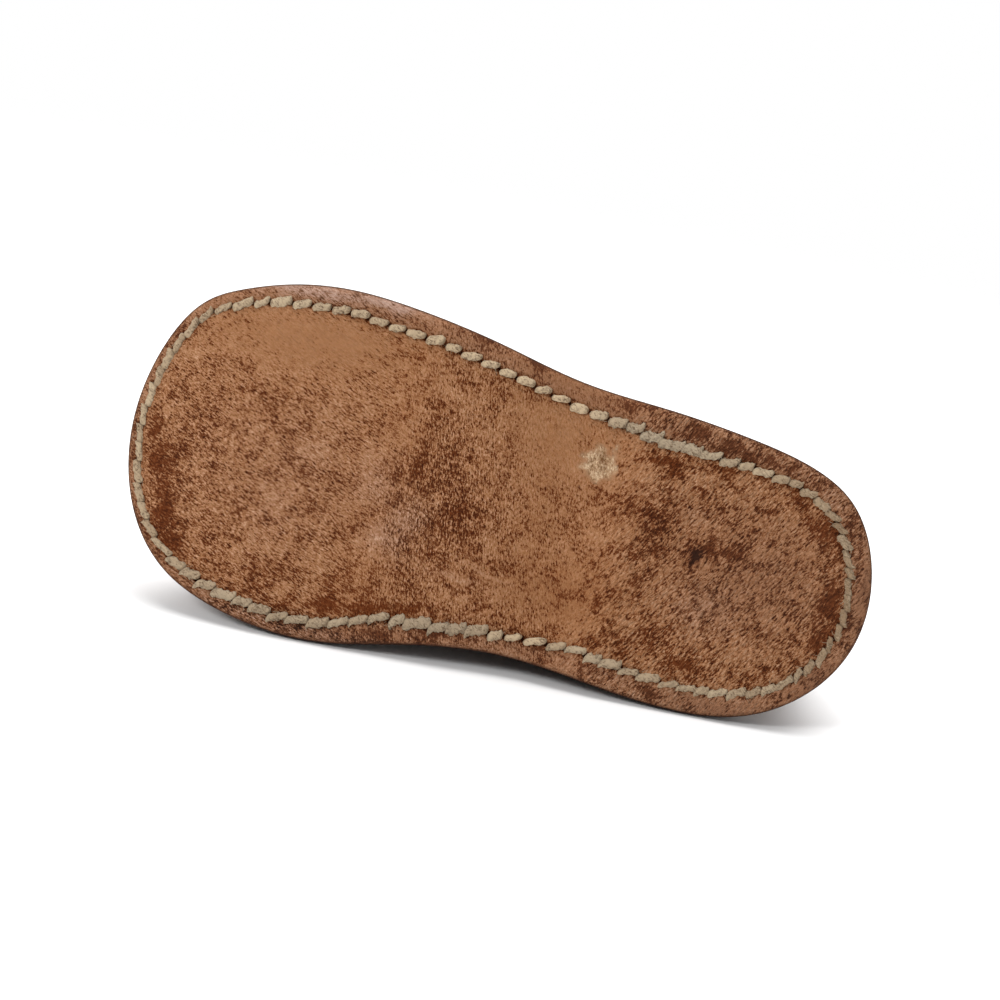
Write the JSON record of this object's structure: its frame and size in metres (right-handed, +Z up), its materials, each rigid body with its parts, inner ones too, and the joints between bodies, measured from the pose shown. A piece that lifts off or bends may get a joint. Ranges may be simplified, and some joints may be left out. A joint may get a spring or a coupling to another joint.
{
  "type": "toddler leather slip-on shoe",
  "caption": "Left shoe of a toddler's pair: hollow leather slip-on upper, turned out and stitched down to a flat leather sole with toe spring and arch.",
  "frame": {"origin": "centre of the bounding box's base, on the floor the shoe lies on", "axes": "+X from toe to heel, +Y from the sole towards the collar, +Z up; the shoe lies on its inner side"},
  "size_m": [0.1438, 0.0602, 0.065],
  "materials": {
    "sole_leather": "worn tan sole leather, napped and scuffed",
    "upper_leather": "smooth mahogany brown leather, low sheen",
    "lining_leather": "plain pale lining leather",
    "binding_leather": "smooth dark brown leather strip"
  },
  "bodies": {
    "root": {"outsole": "sole_leather", "upper": "upper_leather", "insole": "lining_leather", "collar_binding": "binding_leather", "back_stay": "binding_leather"}
  },
  "joints": []
}
